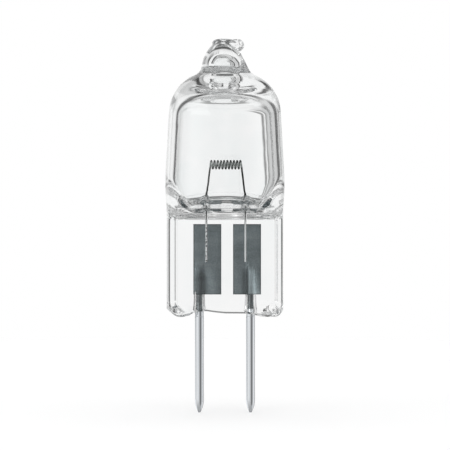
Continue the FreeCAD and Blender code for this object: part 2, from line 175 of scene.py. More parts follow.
# The nose is an ogive with a blunt point. The plating ends in a step of 0.01 mm at the seal's base.
step = pin_radius - point_radius
ogive = (nose_length**2 + step**2) / (2 * step)
rise = np.linspace(0, nose_length, 18)[1:]
nose = pin_radius - ogive + np.sqrt(ogive**2 - (nose_length - rise) ** 2)
pin_profile = [(0.05, pin_foot), (0.085, pin_foot + 0.008)]
pin_profile += [(r, pin_foot + h + blunting) for r, h in zip(nose, rise)]
pin_profile += [(pin_radius, z) for z in np.linspace(-6.3, -0.1, 12)]
pin_profile += [(pin_radius, -0.02), (pin_radius - 0.001, -0.008), (wire_radius + 0.002, 0.004)]
pin_profile += [(wire_radius, z) for z in (0.012, 0.03, 0.06)]
pin_profile += [(wire_radius, z) for z in np.linspace(0.3, pin_top - 0.06, 8)]
pin_profile += [(wire_radius - 0.015, pin_top - 0.015), (wire_radius - 0.06, pin_top)]
for name, x in (("pin_left", -pin_x), ("pin_right", pin_x)):
    points, faces = turned(x, 0, pin_profile, pin_sides)
    piece(name + "_wire", points, faces, plated, name)


# Seal foils
# Rolled molybdenum foil with etched edges, welded to the lead in front and to the pin behind.
# It bulges over the pin's end, where the press has pulled it tight.
foil_half = 1.09
foil_top = 7.25
foil_foot = 1.75
foil_plane = -0.2
foil_thickness = 0.03
feather = 0.3
foil_columns = 73
foil_rows = 121

# Molybdenum foil: dull blue-grey with a rolled grain. Its colour is multiplied by painted shade along its
# etched edges and over the pin's end, and by a painted highlight in a streak beside the pin. The real grain
# is too fine to show, so it is drawn 0.1 mm wide.
grain_width = 0.1
grain_depth = 0.03
band_length = 4.0
band_width = 5 / 7
band_share = 0.4
etched, tree, shader = material("etched_molybdenum_foil")
place = node(tree, "ShaderNodeTexCoord").outputs["Object"]
rolled = node(
    tree,
    "ShaderNodeTexNoise",
    {"Vector": place, "Scale": 1 / grain_width / MM, "Detail": 4.0, "Roughness": 0.7},
).outputs["Fac"]
bands = node(
    tree,
    "ShaderNodeMapping",
    {"Vector": place, "Scale": (1 / band_length / MM, 1 / band_length / MM, 1 / band_width / MM)},
)
banded = node(
    tree,
    "ShaderNodeTexNoise",
    {"Vector": bands.outputs[0], "Scale": 1.0, "Detail": 3.0, "Roughness": 0.5},
)
mixed = node(
    tree,
    "ShaderNodeMix",
    {"Factor": band_share, "A": rolled, "B": banded.outputs["Fac"]},
    data_type="FLOAT",
)
tone = node(
    tree,
    "ShaderNodeValToRGB",
    {"Fac": mixed.outputs["Result"]},
    stops=[(0.3, linear("656F72")), (0.7, linear("98A2A5"))],
)
# Painted shade and painted highlight, kept per point on the foil, multiply its colour.
foil_painted_light = node(tree, "ShaderNodeAttribute", attribute_name="painted_shade_and_highlight").outputs["Fac"]
shaded = node(
    tree,
    "ShaderNodeMix",
    {"Factor": 1.0, "A": tone.outputs["Color"], "B": foil_painted_light},
    data_type="RGBA",
    blend_type="MULTIPLY",
)
sheen = node(tree, "ShaderNodeMapRange", {"Value": rolled, "To Min": 0.28, "To Max": 0.42})
grain = node(tree, "ShaderNodeBump", {"Height": rolled, "Strength": 0.35, "Distance": grain_depth * MM})
tree.links.new(shaded.outputs["Result"], shader.inputs["Base Color"])
tree.links.new(sheen.outputs["Result"], shader.inputs["Roughness"])
tree.links.new(grain.outputs["Normal"], shader.inputs["Normal"])
shader.inputs["Metallic"].default_value = 1.0


def smooth_step(low, high, x):
    """0 below low, 1 above high, with a smooth passage between them."""
    t = np.clip((x - low) / (high - low), 0, 1)
    return t * t * (3 - 2 * t)


def soft_min(a, b, blend):
    """The smaller of a and b, rounded where they are nearly the same."""
    near = np.clip(blend - np.abs(a - b), 0, None) / blend
    return np.minimum(a, b) - near * near * blend / 4


def soft_max(a, b, blend):
    """The larger of a and b, rounded in the same way."""
    return -soft_min(-a, -b, blend)


# The painted shade over the pin's end ends in an arch. The painted highlight streak leans away from the pin
# and fades upwards.
slack = 0.06
bow_blend = 0.16
bow_fade = 0.8
shade_arch_top = 3.7
shade_depth = 0.42
highlight_half = 0.33
highlight_lean = 0.15
highlight_z = 2.6
rim_dark = 0.4
for name, middle, x_pin, shade_x, shade_half, highlight_x, highlight_gain in (
    ("foil_left", -1.37, -pin_x, -1.88, 0.4, -1.1, 0.35),
    ("foil_right", 1.73, pin_x, 1.6, 0.26, 2.25, 1.4),
):
    x, z = np.meshgrid(
        np.linspace(middle - foil_half, middle + foil_half, foil_columns),
        np.linspace(foil_foot, foil_top, foil_rows),
    )
    edge = foil_half - np.abs(x - middle)
    half = foil_thickness / 2 * np.clip(edge / feather, 0.02, 1)
    cover = wire_radius + foil_thickness + slack * np.clip((pin_top - z) / (pin_top - foil_foot), 0, 1)
    bow = np.sqrt(np.clip(cover**2 - (x - x_pin) ** 2, 0, None)) + foil_plane
    bow = soft_max(bow, 0.0 * bow, bow_blend)
    bow *= 1 - smooth_step(pin_top - 0.05, pin_top + bow_fade, z)
    bow *= smooth_step(0, 0.25, edge)
    wave = 0.006 * np.sin(2.1 * x + 1.3 * z + 3 * middle) + 0.004 * np.sin(4.7 * z - 2.9 * x)
    middle_plane = foil_plane - bow + wave * smooth_step(0, 0.6, edge)
    front = np.stack([x, middle_plane - half, z], -1).reshape(-1, 3)
    back = np.stack([x, middle_plane + half, z], -1).reshape(-1, 3)
    points = np.concatenate([front, back])
    size = foil_columns * foil_rows
    faces = strips(foil_rows, foil_columns, False)
    faces += strips(foil_rows, foil_columns, False, first=size, flip=True)
    border = list(range(foil_columns))
    border += [foil_columns * (k + 1) - 1 for k in range(1, foil_rows)]
    border += [size - 2 - j for j in range(foil_columns - 1)]
    border += [foil_columns * (foil_rows - 1 - k) for k in range(1, foil_rows - 1)]
    for a, b in zip(border, border[1:] + border[:1]):
        faces.append([a, a + size, b + size, b])
    foil = piece(name + "_sheet", points, faces, etched, name)
    # Painted shade over the pin's end, where the bulge's flank lies in shade.
    arch = shade_arch_top - 1.5 * (x - shade_x) ** 2
    painted_shade = smooth_step(0, 0.3, shade_half + 0.15 - np.abs(x - shade_x))
    painted_shade *= 1 - smooth_step(arch - 0.4, arch + 0.3, z)
    # Painted highlight: a bright streak beside the pin.
    painted_highlight = np.exp(-(((x - highlight_x - highlight_lean * (highlight_z - z)) / highlight_half) ** 2))
    painted_highlight *= 1 - smooth_step(3.0, 4.4, z)
    # Painted shade darkens the foil towards its edges.
    rim = np.minimum(edge, np.minimum(z - foil_foot, foil_top - z))
    shade = (1 - shade_depth * painted_shade) * (1 + highlight_gain * painted_highlight)
    shade *= 1 - rim_dark + rim_dark * smooth_step(0.02, 0.13, rim)
    painted_shade_and_highlight = foil.data.attributes.new("painted_shade_and_highlight", "FLOAT", "POINT")
    painted_shade_and_highlight.data.foreach_set("value", np.tile(shade.reshape(-1), 2).astype(np.float32))


# Filament
# One drawn tungsten wire, wound hot into a coil that hangs between its own two legs.
# The legs run down through the quartz and are welded to the fronts of the foils.
wire_half = 0.07
wire_sides = 16
coil_radius = 0.305
coil_length = 2.4
coil_turns = 9.5
coil_steps = 48
coil_x = 0.07
coil_y = 0.035
coil_z = 11.86
lead_y = -0.27
lead_half = 1.52
lead_foot = 4.3
leg_steps = 40
floor_z = 8.5

# Tungsten wire: grey and satin from the draw. The wire darkens away from the coil's middle height: painted
# shade at the coil's crests, where neighbouring turns shade each other, and the same darkening leaves the
# legs nearly black. The quartz doesn't wet it, so a hair-thin gap stays round it where it is sealed in; that
# gap's white shine is a painted reflection in the wire's colour, on the left lead in broken patches. The
# draw grain is drawn 0.11 mm wide, because the real one is too fine to show.
draw_grain = 1 / 9
draw_relief = 0.01
crest_from = 0.14
crest_to = 0.26
gap_from = 8.1
gap_to = 7.0
patch_length = 0.16
right_gaps = 0.15
left_gaps = 0.45
tungsten, tree, shader = material("drawn_tungsten_wire")
place = node(tree, "ShaderNodeTexCoord").outputs["Object"]
drawn = node(
    tree,
    "ShaderNodeTexNoise",
    {"Vector": place, "Scale": 1 / draw_grain / MM, "Detail": 4.0, "Roughness": 0.6},
).outputs["Fac"]
axes = node(tree, "ShaderNodeSeparateXYZ", {0: place})
strand = node(
    tree, "ShaderNodeValToRGB", {"Fac": drawn}, stops=[(0.3, linear("8A8F8D")), (0.7, linear("B4B9B6"))]
)
dark_wire = node(
    tree, "ShaderNodeValToRGB", {"Fac": drawn}, stops=[(0.3, linear("141716")), (0.7, linear("2A2E2C"))]
)
from_axis = node(tree, "ShaderNodeMath", {0: axes.outputs["Z"], 1: coil_z * MM}, operation="SUBTRACT")
off_axis = node(tree, "ShaderNodeMath", {0: from_axis.outputs[0]}, operation="ABSOLUTE")
# Painted shade at the coil's crests, by height from the coil's axis; it also darkens the legs.
painted_crest_shade = node(
    tree,
    "ShaderNodeMapRange",
    {"Value": off_axis.outputs[0], "From Min": crest_from * MM, "From Max": crest_to * MM},
)
tone = node(
    tree,
    "ShaderNodeMix",
    {"Factor": painted_crest_shade.outputs["Result"], "A": strand.outputs["Color"], "B": dark_wire.outputs["Color"]},
    data_type="RGBA",
)
sealed = node(
    tree,
    "ShaderNodeMapRange",
    {"Value": axes.outputs["Z"], "From Min": gap_from * MM, "From Max": gap_to * MM},
)
patches = node(
    tree,
    "ShaderNodeTexNoise",
    {"Vector": place, "Scale": 1 / patch_length / MM, "Detail": 1.0, "Roughness": 0.5},
)
breaks = node(
    tree,
    "ShaderNodeMapRange",
    {
        "Value": axes.outputs["X"],
        "From Min": 1.0 * MM,
        "From Max": -1.0 * MM,
        "To Min": right_gaps,
        "To Max": left_gaps,
    },
)
unbroken = node(
    tree,
    "ShaderNodeMath",
    {0: patches.outputs["Fac"], 1: breaks.outputs["Result"]},
    operation="GREATER_THAN",
)
# Painted reflection: where the wire is sealed in, the gap's white shine is painted into its colour.
painted_gap_shine = node(
    tree, "ShaderNodeMath", {0: unbroken.outputs[0], 1: sealed.outputs["Result"]}, operation="MULTIPLY"
).outputs[0]
wire_tone = node(
    tree,
    "ShaderNodeMix",
    {"Factor": painted_gap_shine, "A": tone.outputs["Result"], "B": linear("FAFBFB")},
    data_type="RGBA",
)
metal = node(tree, "ShaderNodeMath", {0: 1.0, 1: painted_gap_shine}, operation="SUBTRACT")
grain = node(tree, "ShaderNodeBump", {"Height": drawn, "Strength": 0.2, "Distance": draw_relief * MM})
tree.links.new(wire_tone.outputs["Result"], shader.inputs["Base Color"])
tree.links.new(metal.outputs[0], shader.inputs["Metallic"])
tree.links.new(grain.outputs["Normal"], shader.inputs["Normal"])
shader.inputs["Roughness"].default_value = 0.3

# The wire's path: up one leg, round the coil and down the other leg. Each leg bends as a curve from the
# coil's end to the cavity's floor, and is straight below it.
advance = coil_length / coil_turns / (2 * math.pi)
windings = np.linspace(0, 2 * math.pi * coil_turns, int(coil_steps * coil_turns) + 1)
coil = np.stack(
    [
        coil_x - coil_length / 2 + advance * windings,
        coil_y + coil_radius * np.cos(windings),
        coil_z + coil_radius * np.sin(windings),
    ],
    -1,
)
legs = []
for side in (-1, 1):
    top = np.array([coil_x + side * coil_length / 2, coil_y - side * coil_radius, coil_z])
    entry = np.array([coil_x + side * lead_half, lead_y, floor_z])
    away = np.array([side * advance, 0, -coil_radius])
    away /= np.linalg.norm(away)
    pull = np.linalg.norm(entry - top) / 3
    poles = [top, top + away * pull, entry + [0, 0, pull], entry]
    t = np.linspace(0, 1, leg_steps)[1:, None]
    curve = (1 - t) ** 3 * poles[0] + 3 * (1 - t) ** 2 * t * poles[1]
    curve += 3 * (1 - t) * t**2 * poles[2] + t**3 * poles[3]
    heights = np.linspace(floor_z, lead_foot, leg_steps)[1:]
    straight = np.array([(entry[0], entry[1], z) for z in heights])
    legs.append(np.concatenate([curve, straight]))
path = np.concatenate([legs[0][::-1], coil, legs[1]])
along = np.gradient(path, axis=0)
along /= np.linalg.norm(along, axis=1)[:, None]
sideways = np.zeros_like(path)
last_side = np.array([0.0, 1.0, 0.0])
for i, direction in enumerate(along):
    last_side = last_side - direction * (last_side @ direction)
    last_side /= np.linalg.norm(last_side)
    sideways[i] = last_side
across = np.cross(along, sideways)
turn = (np.arange(wire_sides) * 2 * math.pi / wire_sides)[None, :, None]
rings = path[:, None, :] + wire_half * (
    sideways[:, None, :] * np.cos(turn) + across[:, None, :] * np.sin(turn)
)
points = rings.reshape(-1, 3)
faces = strips(len(path), wire_sides, True)
faces.append(list(range(wire_sides))[::-1])
faces.append(list(range(len(points) - wire_sides, len(points))))
piece("filament_wire", points, faces, tungsten, "filament")


# Quartz envelope
# One tube of clear fused quartz: blown out, pressed flat round the foils and melted shut at the tip.
# Fire polish leaves it smooth; the cold jaws leave rails and a flat web on the seal.
seal_half = 4.55
seal_top = 8.25
bulb_radius = 4.68
barrel_radius = 4.38
wall = 0.72
shoulder_top = 10.3
dome_foot = 15.87
dome_centre = 1.13
dome_radius = 3.25
dome_sweep = 73.6
tip_top = 21.54
tip_lean = 0.12
lean_from = 19.2
lean_to = 20.4
jaw_face = 1.45
press_climb = 0.75
press_slope = press_climb / (bulb_radius - jaw_face)
shoulder_blend = 0.9

# Clear fused quartz: colourless, fire-polished glass. Faint striae from the drawn tube make what is seen
# through it waver a little, and the seal's lower corners, nipped while soft, glitter with small creases.
stria_width = 2.2
stria_depth = 0.04
crease_width = 0.8
crease_depth = 0.6
crease_x = (2.5, 3.3)
crease_z = (1.3, 0.3)
quartz, tree, shader = material("clear_fused_quartz")
place = node(tree, "ShaderNodeTexCoord").outputs["Object"]
striae = node(
    tree,
    "ShaderNodeTexNoise",
    {"Vector": place, "Scale": 1 / stria_width / MM, "Detail": 2.0, "Roughness": 0.5},
).outputs["Fac"]
tone = node(
    tree, "ShaderNodeValToRGB", {"Fac": striae}, stops=[(0.3, linear("FAFCFC")), (0.7, linear("FFFFFF"))]
)
waver = node(tree, "ShaderNodeBump", {"Height": striae, "Strength": 0.3, "Distance": stria_depth * MM})
creased = node(
    tree,
    "ShaderNodeTexNoise",
    {"Vector": place, "Scale": 1 / crease_width / MM, "Detail": 1.0, "Roughness": 0.5},
)
axes = node(tree, "ShaderNodeSeparateXYZ", {0: place})
off_middle = node(tree, "ShaderNodeMath", {0: axes.outputs["X"]}, operation="ABSOLUTE")
outward = node(
    tree,
    "ShaderNodeMapRange",
    {"Value": off_middle.outputs[0], "From Min": crease_x[0] * MM, "From Max": crease_x[1] * MM},
)
downward = node(
    tree,
    "ShaderNodeMapRange",
    {"Value": axes.outputs["Z"], "From Min": crease_z[0] * MM, "From Max": crease_z[1] * MM},
)
corners = node(
    tree,
    "ShaderNodeMath",
    {0: outward.outputs["Result"], 1: downward.outputs["Result"]},
    operation="MULTIPLY",
)
nipped = node(
    tree, "ShaderNodeMath", {0: corners.outputs[0], 1: creased.outputs["Fac"]}, operation="MULTIPLY"
)
relief = node(
    tree,
    "ShaderNodeBump",
    {
        "Height": nipped.outputs[0],
        "Strength": 1.0,
        "Distance": crease_depth * MM,
        "Normal": waver.outputs["Normal"],
    },
)
tree.links.new(tone.outputs["Color"], shader.inputs["Base Color"])
tree.links.new(relief.outputs["Normal"], shader.inputs["Normal"])
shader.inputs["Roughness"].default_value = 0.0
shader.inputs["IOR"].default_value = 1.458
shader.inputs["Transmission Weight"].default_value = 1.0


def rounded(outline, spread, spacing=0.02):
    """A profile that ends on the axis, as evenly spaced points with its corners smoothed away."""
    outline = np.asarray(outline, float)
    outline = np.concatenate([outline, outline[-2::-1] * [-1, 1]])
    run = np.r_[0, np.cumsum(np.linalg.norm(np.diff(outline, axis=0), axis=1))]
    count = int(run[-1] / spacing) | 1
    at = np.linspace(0, run[-1], count + 1)
    even = np.stack([np.interp(at, run, outline[:, i]) for i in (0, 1)], -1)
    reach = int(3 * spread / spacing)
    kernel = np.exp(-0.5 * (np.arange(-reach, reach + 1) * spacing / spread) ** 2)
    kernel /= kernel.sum()
    smoothed = []
    for i in (0, 1):
        head = 2 * even[0, i] - even[reach:0:-1, i]
        tail = 2 * even[-1, i] - even[-2 : -reach - 2 : -1, i]
        smoothed.append(np.convolve(np.r_[head, even[:, i], tail], kernel, "valid"))
    half = np.stack(smoothed, -1)[: (count + 1) // 2]
    half[-1, 0] = 0
    return half


def pick(profile, spacing):
    """Points of a profile at about even steps along it."""
    run = np.r_[0, np.cumsum(np.linalg.norm(np.diff(profile, axis=0), axis=1))]
    at = np.linspace(0, run[-1], max(2, int(run[-1] / spacing)) + 1)
    return np.stack([np.interp(at, run, profile[:, i]) for i in (0, 1)], -1)


def even_turns(half_x, half_y, count):
    """Angles of points spread evenly round a rectangle, more closely at the rails' edges."""
    rail_edge = 3.86
    rail_spread = 0.2
    rail_gain = 2.5
    fine = np.linspace(0, 2 * math.pi, 20001)
    to_side = half_x / np.maximum(np.abs(np.cos(fine)), 1e-9)
    to_face = half_y / np.maximum(np.abs(np.sin(fine)), 1e-9)
    reach = np.minimum(to_side, to_face)
    x = reach * np.cos(fine)
    y = reach * np.sin(fine)
    steps = np.hypot(np.diff(x), np.diff(y))
    steps *= 1 + rail_gain * np.exp(-(((np.abs(x[1:]) - rail_edge) / rail_spread) ** 2))
    run = np.r_[0, np.cumsum(steps)]
    half = np.interp(np.arange(1, count // 2) / count * run[-1], run, fine)
    return np.r_[0, half, math.pi, 2 * math.pi - half[::-1]]


def reach_out(inside, turns, heights, limit):
    """How far each level row reaches from the axis before it leaves the shape."""
    low = np.zeros_like(turns)
    high = limit + 0 * turns
    for halving in range(30):
        half = (low + high) / 2
        within = inside(half * np.cos(turns), half * np.sin(turns), heights) < 0
        low = np.where(within, half, low)
        high = np.where(within, high, half)
    return low


def level_rings(reach, turns, heights):
    """Points at each reach and turn round the axis, with one ring for each height."""
    return np.stack([reach * np.cos(turns), reach * np.sin(turns), heights + 0 * turns], -1)


# The blown tube before the press: straight at the seal, widest at the shoulder, then barrel, dome and tip.
dome_bend = np.radians(np.linspace(0, dome_sweep, 40))[1:]
outside = [(seal_half, -2.0), (seal_half, seal_top), (4.66, 9.8), (bulb_radius - 0.01, 10.7)]
outside += [(barrel_radius, dome_foot)]
for b in dome_bend:
    outside.append((dome_centre + dome_radius * math.cos(b), dome_foot + dome_radius * math.sin(b)))
outside += [(1.86, 19.3), (1.78, 19.6), (1.67, 19.93), (1.5, 20.33), (1.25, 20.8), (0.95, 21.19)]
outside += [(0.6, 21.42), (0.3, 21.51), (0.0, tip_top)]
outer_profile = rounded(outside, 0.24)


def pressed(x, y, z):
    """Distance to the quartz after the jaws: flat faces below, shoulders above, rounded rims."""
    tube = np.hypot(x, y) - np.interp(z, outer_profile[:, 1], outer_profile[:, 0])
    flat = np.abs(y) - jaw_face
    shelf = (seal_top + press_slope * (np.abs(y) - jaw_face) - z) / math.hypot(1, press_slope)
    rim_blend = 0.3 + 0.4 * smooth_step(7.9, 8.6, z)
    return soft_max(soft_min(flat, shelf, shoulder_blend), tube, rim_blend)


# Rows of points up the seal and the shoulder, close together where the shoulder swells. The web lies a
# little below the rails on both faces and ends under the shoulder.
around = 288
bevel_top = 0.25
press_end = 9.7
web_depth = 0.12
left_rail = (-3.99, -3.65)
right_rail = (3.88, 4.28)
web_end = (7.62, 7.9)
even_round = np.linspace(0, 2 * math.pi, around, endpoint=False)
seal_heights = np.r_[np.linspace(bevel_top, 7.45, 24), np.arange(7.5, press_end, 0.028)][:, None]
round_share = smooth_step(8.2, 9.6, seal_heights)
seal_turns = round_share * even_round + (1 - round_share) * even_turns(seal_half, jaw_face, around)
seal_reach = reach_out(pressed, seal_turns, seal_heights, bulb_radius + 0.01)
lower = level_rings(seal_reach, seal_turns, seal_heights)
web = smooth_step(*left_rail, lower[..., 0]) * (1 - smooth_step(*right_rail, lower[..., 0]))
lower[..., 1] *= 1 - web_depth / jaw_face * web * (1 - smooth_step(*web_end, lower[..., 2]))
upper = pick(outer_profile[outer_profile[:, 1] > press_end + 0.02], 0.13)
upper = level_rings(upper[:, :1], even_round, upper[:, 1:])


def foot_height(x):
    """Height of the seal's lower edge along X: nipped corners, a high arch left of the middle."""
    edge_end = 4.6
    spacing = 0.02
    spread = 0.09
    reach = 15
    stations = [-4.6, -4.3, -3.97, -3.7, -3.3, -2.73, -2.41, -1.5, -0.85, 0.0, 1.65, 2.35, 2.9, 4.15, 4.6]
    heights = [0.72, 0.42, 0.16, 0.01, 0.0, 0.14, 0.36, 0.47, 0.37, 0.28, 0.27, 0.16, 0.02, 0.0, 0.6]
    fine = np.linspace(-edge_end, edge_end, round(2 * edge_end / spacing) + 1)
    line = np.interp(fine, stations, heights)
    kernel = np.exp(-0.5 * (np.arange(-reach, reach + 1) * spacing / spread) ** 2)
    line = np.convolve(np.pad(line, reach, mode="edge"), kernel / kernel.sum(), "valid")
    return np.interp(x, fine, line)


# The rows above the lower edge follow its line less and less. Below them, the bevel gives inset and rise of
# a rounded rim, a slope of about 25 degrees and the flat underside, which closes on a line.
foot_fade = 3
bevel = [(0.012, 0.19), (0.035, 0.155), (0.06, 0.14), (0.075, 0.133), (0.2, 0.075), (0.315, 0.021)]
bevel += [(0.33, 0.014), (0.36, 0.005), (0.42, 0.0)]
follow = np.clip(1 - (lower[..., 2] - bevel_top) / foot_fade, 0, 1) ** 2
lower[..., 2] += foot_height(lower[..., 0]) * follow
lowest = lower[0]
base = foot_height(lowest[:, 0])
underside = []
for inset, lift in bevel:
    underside.append(np.stack([lowest[:, 0], lowest[:, 1] * (1 - inset / jaw_face), base + lift], -1))
for part in np.linspace(1 - bevel[-1][0] / jaw_face, 0, 9)[1:]:
    underside.append(np.stack([lowest[:, 0], lowest[:, 1] * part, base], -1))
outer = np.concatenate([np.array(underside)[::-1], lower, upper])
outer[..., 0] -= tip_lean * smooth_step(lean_from, lean_to, outer[..., 2])

# Where the tube was melted off, two drops of quartz ran together on the tip: a leaning cap and a bead at
# its right end. The tip's rows are pushed out to them from a point inside.
drop_foot = 19.8
drop_blend = 0.14
drops = [((0.2, 0, 21.28), (1.2, 0.8, 0.42), 7), ((0.98, 0, 21.2), (0.52, 0.5, 0.5), 0)]
inside_tip = np.array([0.1, 0.0, 21.0])
rays = outer - inside_tip
grown = np.linalg.norm(rays, axis=-1)
unit = rays / grown[..., None]
for centre, half_axes, degrees in drops:
    tilt = math.radians(degrees)
    lean = np.array(
        [[math.cos(tilt), 0, -math.sin(tilt)], [0, 1, 0], [math.sin(tilt), 0, math.cos(tilt)]]
    )
    start = ((inside_tip - centre) @ lean.T) / half_axes
    way = (unit @ lean.T) / half_axes
    a = (way * way).sum(-1)
    b = (way * start).sum(-1)
    c = (start * start).sum() - 1
    root = b * b - a * c
    drop = np.where(root > 0, (-b + np.sqrt(np.clip(root, 0, None))) / a, 0)
    grown = np.where(outer[..., 2] > drop_foot, soft_max(grown, drop, drop_blend), grown)
outer = inside_tip + unit * grown[..., None]

# The sealed cavity: a round chamber with an arched top and the old pump passage up into the tip. Below, the
# press has drawn it in at its sides and left a shallow trough.
arch_foot = 15.69
arch_radius = 1.75
arch_centre = barrel_radius - wall - arch_radius
passage = 0.88
floor_half = 2.9
trough_half = 0.9
trough_round = 0.35
side_slope = (bulb_radius - wall - floor_half) / (shoulder_top - floor_z)
arch_bend = np.radians(np.linspace(0, 90, 20))[1:]
chamber = [(bulb_radius - wall, floor_z - 1.0), (bulb_radius - wall, shoulder_top)]
chamber += [(barrel_radius - wall, arch_foot)]
for b in arch_bend:
    chamber.append((arch_centre + arch_radius * math.cos(b), arch_foot + arch_radius * math.sin(b)))
chamber += [(1.1, 17.44), (passage, 17.66), (passage, 19.7), (0.6, 20.15), (0.3, 20.3), (0.0, 20.34)]
inner_profile = rounded(chamber, 0.12)


def hollow(x, y, z):
    """Distance to the cavity: a round chamber, drawn in at its sides over a shallow trough along X."""
    round_part = np.hypot(x, y) - np.interp(z, inner_profile[:, 1], inner_profile[:, 0])
    sides = (np.abs(x) - floor_half - side_slope * (z - floor_z)) / math.hypot(1, side_slope)
    climb = press_slope * (np.hypot(y, trough_round) - trough_round)
    trough = (floor_z + climb - z) / math.hypot(1, press_slope)
    return soft_max(soft_max(round_part, sides, 0.5), trough, 0.6)


# The cavity's rows start just over its floor, and the keel's rows close it on a line along X.
inner_around = 192
keel_depth = 0.012
inner_round = np.arange(inner_around) * 2 * math.pi / inner_around
floor_rows = np.arange(floor_z + 0.03, 9.6, 0.025)
shoulder_rows = np.arange(9.62, 11.2, 0.08)
floor_heights = np.r_[floor_z + keel_depth, floor_rows, shoulder_rows][:, None]
round_share = smooth_step(8.6, 9.6, floor_heights)
trough_turns = even_turns(floor_half, trough_half, inner_around)
floor_turns = round_share * inner_round + (1 - round_share) * trough_turns
floor_reach = reach_out(hollow, floor_turns, floor_heights, 4.2)
low_part = level_rings(floor_reach, floor_turns, floor_heights)
high_part = pick(inner_profile[inner_profile[:, 1] > 11.25], 0.15)
high_part = level_rings(high_part[:, :1], inner_round, high_part[:, 1:])
keel = []
for part in (0.0, 0.3, 0.6, 0.8):
    row = low_part[0].copy()
    row[:, 1] *= part
    row[:, 2] -= keel_depth * (1 - part * part)
    keel.append(row)
cavity = np.concatenate([np.array(keel), low_part, high_part])
cavity[..., 0] -= tip_lean * smooth_step(lean_from, lean_to, cavity[..., 2])

# At each lead, the press has raised a low fold across the floor and a collar round the wire.
lead_places = (coil_x - lead_half, coil_x + lead_half)
fold_height = 0.045
fold_half = 0.2
collar = 0.52
collar_radius = 0.42
for x_lead in lead_places:
    fold = fold_height * np.exp(-(((cavity[..., 0] - x_lead) / fold_half) ** 2))
    cavity[..., 2] += fold * (1 - smooth_step(8.9, 10.3, cavity[..., 2]))
    near = np.hypot(cavity[..., 0] - x_lead, cavity[..., 1] - lead_y)
    swell = collar * np.exp(-((near / collar_radius) ** 2))
    cavity[..., 2] += swell * (1 - smooth_step(9.0, 9.6, cavity[..., 2]))


def shell(rows, first=0, flip=False):
    """Points and faces of level rings that close in one point at the top."""
    count = rows.shape[1]
    points = np.concatenate([rows[:-1].reshape(-1, 3), rows[-1, :1]])
    faces = strips(len(rows) - 1, count, True, first, flip)
    top = first + len(points) - 1
    for j in range(count):
        pair = [top - count + j, top - count + (j + 1) % count]
        faces.append((pair[::-1] if flip else pair) + [top])
    return points, faces


# The quartz doesn't cling to the leads: a sleeve of hair-thin gap stays round each, closed at both ends.
gap = 0.03
sleeve_sides = 48
sleeve_foot = lead_foot - 0.04
sleeve_head = floor_z + collar - 0.06
sleeve_radius = wire_half + gap
sleeve = [(sleeve_radius * 0.8, sleeve_foot), (sleeve_radius * 0.97, sleeve_foot + 0.01)]
sleeve += [(sleeve_radius, sleeve_foot + 0.03)]
sleeve += [(sleeve_radius, z) for z in np.linspace(sleeve_foot + 0.2, sleeve_head - 0.2, 10)]
sleeve += [(sleeve_radius, sleeve_head - 0.03), (sleeve_radius * 0.97, sleeve_head - 0.01)]
sleeve += [(sleeve_radius * 0.8, sleeve_head)]
points, faces = shell(outer)
more_points, more_faces = shell(cavity, len(points), flip=True)
points = np.concatenate([points, more_points])
faces += more_faces
for x_lead in lead_places:
    more_points, more_faces = turned(x_lead, lead_y, sleeve, sleeve_sides, len(points), flip=True)
    points = np.concatenate([points, more_points])
    faces += more_faces
envelope = piece("quartz_body", points, faces, quartz, "quartz_envelope")

# Underside and keel close on lines, so their points that coincide are joined.
sew = bmesh.new()
sew.from_mesh(envelope.data)
bmesh.ops.remove_doubles(sew, verts=sew.verts, dist=1e-8)
bmesh.ops.dissolve_degenerate(sew, edges=sew.edges, dist=1e-9)
sew.to_mesh(envelope.data)
sew.free()

# The pins' bores: a funnel at the seal's lower edge, then a gap that narrows to the bare wire.
bore_foot = -0.4
bore_top = pin_top + 0.025
funnel = [(0.85, bore_foot), (0.72, 0.1), (0.6, 0.35), (0.51, 0.6), (0.46, 0.9), (0.44, 1.3), (0.43, 1.8)]
funnel += [(0.4, 2.1), (0.365, 2.4), (0.36, 2.8), (0.36, 3.5), (0.35, bore_top - 0.01), (0.3, bore_top)]
for x in (-pin_x, pin_x):
    points, faces = turned(x, 0, funnel, sleeve_sides)
    cutter_mesh = bpy.data.meshes.new("pin_bore")
    cutter_mesh.from_pydata((np.asarray(points) * MM).tolist(), [], faces)
    cutter = bpy.data.objects.new("pin_bore", cutter_mesh)
    bpy.context.scene.collection.objects.link(cutter)
    bore = envelope.modifiers.new("pin_bore", "BOOLEAN")
    bore.operation = "DIFFERENCE"
    bore.solver = "EXACT"
    bore.object = cutter
    bpy.context.view_layer.update()
    cut = bpy.data.meshes.new_from_object(envelope.evaluated_get(bpy.context.evaluated_depsgraph_get()))
    envelope.modifiers.clear()
    envelope.data = cut
    bpy.data.objects.remove(cutter)
envelope.data.shade_smooth()
envelope.data.set_sharp_from_angle(angle=math.radians(40))


# Floor
# A round sheet of pale, matt board under the pins' ends, which takes the bulb's shadow.
# Glass and metal look through it to the tent, so that no floor's edge shows in them.
floor_radius = 120
floor_sides = 96
pale, tree, shader = material("pale_matt_board")
shader.inputs["Base Color"].default_value = linear("F8F8F8")
shader.inputs["Roughness"].default_value = 0.9
clear = node(tree, "ShaderNodeBsdfTransparent")
ray = node(tree, "ShaderNodeLightPath")
through = node(
    tree,
    "ShaderNodeMath",
    {0: ray.outputs["Is Transmission Ray"], 1: ray.outputs["Is Glossy Ray"]},
    operation="MAXIMUM",
)
either = node(
    tree,
    "ShaderNodeMixShader",
    {0: through.outputs[0], 1: shader.outputs["BSDF"], 2: clear.outputs["BSDF"]},
)
tree.links.new(either.outputs[0], tree.nodes["Material Output"].inputs["Surface"])
floor_turn = np.arange(floor_sides) * 2 * math.pi / floor_sides
rim_points = [(floor_radius * math.cos(t), floor_radius * math.sin(t), pin_foot) for t in floor_turn]
floor_mesh = bpy.data.meshes.new("floor")
